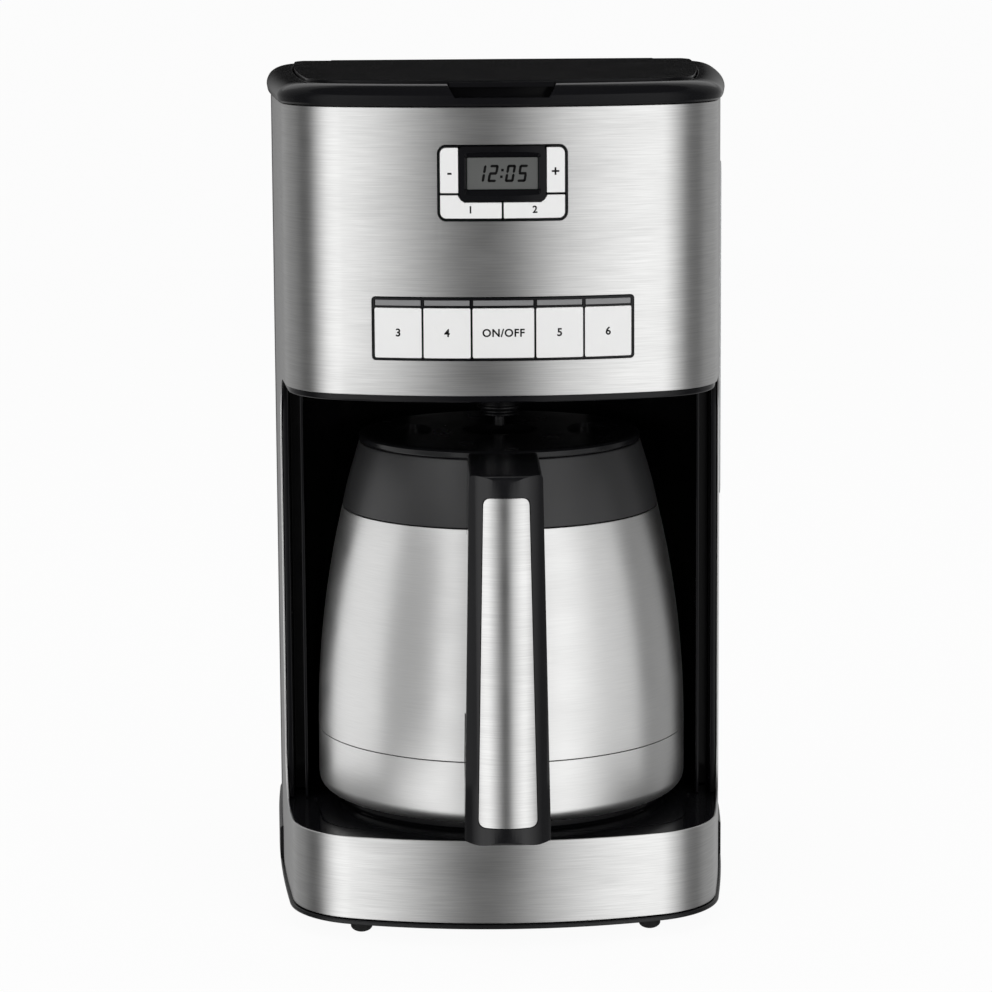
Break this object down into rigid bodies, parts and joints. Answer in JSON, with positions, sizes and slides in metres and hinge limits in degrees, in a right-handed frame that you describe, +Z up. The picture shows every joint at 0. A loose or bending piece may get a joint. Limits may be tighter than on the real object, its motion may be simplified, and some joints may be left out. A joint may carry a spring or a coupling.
{
  "type": "drip coffee maker",
  "caption": "Programmable drip coffee maker with a steel front, a clock and a row of buttons, and a thermal carafe in its open bay.",
  "frame": {"origin": "on the table, under the middle of the box round the machine and its carafe", "axes": "+Z up, the front with the carafe handle faces -Y, +X to the right of someone facing the front"},
  "size_m": [0.1974, 0.2432, 0.3485],
  "materials": {
    "brushed_steel": "brushed",
    "plain_steel": "smooth",
    "gloss_black": "gloss",
    "satin_black": "satin",
    "dark_grey": "satin",
    "ivory": "satin",
    "lamp_grey": "gloss",
    "screen": "gloss",
    "clear_plastic": "frosted",
    "smoke_plastic": "gloss",
    "rubber": "matte",
    "silicone": "matte",
    "aluminium": "satin",
    "circuit_board": "gloss"
  },
  "bodies": {
    "machine": {"front_wrap": "brushed_steel", "rear_housing": "satin_black", "bay_liner": "gloss_black", "head_floor": "gloss_black", "platform": "gloss_black", "base_pan": "satin_black", "water_tank": "smoke_plastic", "tank_base": "smoke_plastic", "water_window": "clear_plastic", "top_frame": "gloss_black", "hinge_rail": "satin_black", "hinge_pin_left": "plain_steel", "hinge_pin_right": "plain_steel", "foot_front_left": "rubber", "foot_front_right": "rubber", "foot_rear_left": "rubber", "foot_rear_right": "rubber", "basket_holder": "satin_black", "filter_cone": "smoke_plastic", "heater_tube": "aluminium", "heating_rod": "plain_steel", "thermostat": "plain_steel", "riser_tube": "silicone", "cold_hose": "silicone", "cord_gland": "rubber", "control_board": "circuit_board", "clock_frame": "gloss_black", "clock_bezel": "gloss_black", "clock_screen": "screen", "button_frame": "gloss_black", "lamp_auto": "lamp_grey", "lamp_bold": "lamp_grey", "lamp_brew": "lamp_grey", "lamp_small_batch": "lamp_grey", "lamp_clean": "lamp_grey"},
    "lid": {"lid": "gloss_black", "shower_head": "satin_black"},
    "carafe": {"carafe_shell": "brushed_steel", "carafe_cup": "brushed_steel", "carafe_foot": "satin_black", "carafe_liner": "plain_steel", "liner_base": "plain_steel", "carafe_collar": "dark_grey", "carafe_handle": "satin_black", "handle_inlay": "brushed_steel"},
    "stopper": {"carafe_stopper": "satin_black"},
    "drip_stop": {"drip_stop": "satin_black"},
    "key_hour": {"key_hour": "ivory"},
    "key_minute": {"key_minute": "ivory"},
    "key_program": {"key_program": "ivory"},
    "key_tone": {"key_tone": "ivory"},
    "key_auto": {"key_auto": "ivory"},
    "key_bold": {"key_bold": "ivory"},
    "key_brew": {"key_brew": "ivory"},
    "key_small_batch": {"key_small_batch": "ivory"},
    "key_clean": {"key_clean": "ivory"}
  },
  "joints": [
    {"name": "lid_hinge", "type": "hinge", "parent": "machine", "child": "lid", "pos_m": [0, 0.1064, 0.345], "axis": [-1, 0, 0], "range_deg": [0, 95]},
    {"name": "carafe_slide", "type": "slide", "parent": "machine", "child": "carafe", "axis": [0, -1, 0], "range_m": [0, 0.2]},
    {"name": "stopper_twist", "type": "hinge", "parent": "carafe", "child": "stopper", "pos_m": [0, -0.0029, 0.188], "axis": [0, 0, 1], "range_deg": [0, 60]},
    {"name": "drip_stop_lift", "type": "slide", "parent": "machine", "child": "drip_stop", "axis": [0, 0, 1], "range_m": [0, 0.003], "stiffness_N_per_m": 200},
    {"name": "key_hour_press", "type": "slide", "parent": "machine", "child": "key_hour", "axis": [0, 1, 0], "range_m": [0, 0.001], "stiffness_N_per_m": 500},
    {"name": "key_minute_press", "type": "slide", "parent": "machine", "child": "key_minute", "axis": [0, 1, 0], "range_m": [0, 0.001], "stiffness_N_per_m": 500},
    {"name": "key_program_press", "type": "slide", "parent": "machine", "child": "key_program", "axis": [0, 1, 0], "range_m": [0, 0.001], "stiffness_N_per_m": 500},
    {"name": "key_tone_press", "type": "slide", "parent": "machine", "child": "key_tone", "axis": [0, 1, 0], "range_m": [0, 0.001], "stiffness_N_per_m": 500},
    {"name": "key_auto_press", "type": "slide", "parent": "machine", "child": "key_auto", "axis": [0, 1, 0], "range_m": [0, 0.001], "stiffness_N_per_m": 500},
    {"name": "key_bold_press", "type": "slide", "parent": "machine", "child": "key_bold", "axis": [0, 1, 0], "range_m": [0, 0.001], "stiffness_N_per_m": 500},
    {"name": "key_brew_press", "type": "slide", "parent": "machine", "child": "key_brew", "axis": [0, 1, 0], "range_m": [0, 0.001], "stiffness_N_per_m": 500},
    {"name": "key_small_batch_press", "type": "slide", "parent": "machine", "child": "key_small_batch", "axis": [0, 1, 0], "range_m": [0, 0.001], "stiffness_N_per_m": 500},
    {"name": "key_clean_press", "type": "slide", "parent": "machine", "child": "key_clean", "axis": [0, 1, 0], "range_m": [0, 0.001], "stiffness_N_per_m": 500}
  ]
}
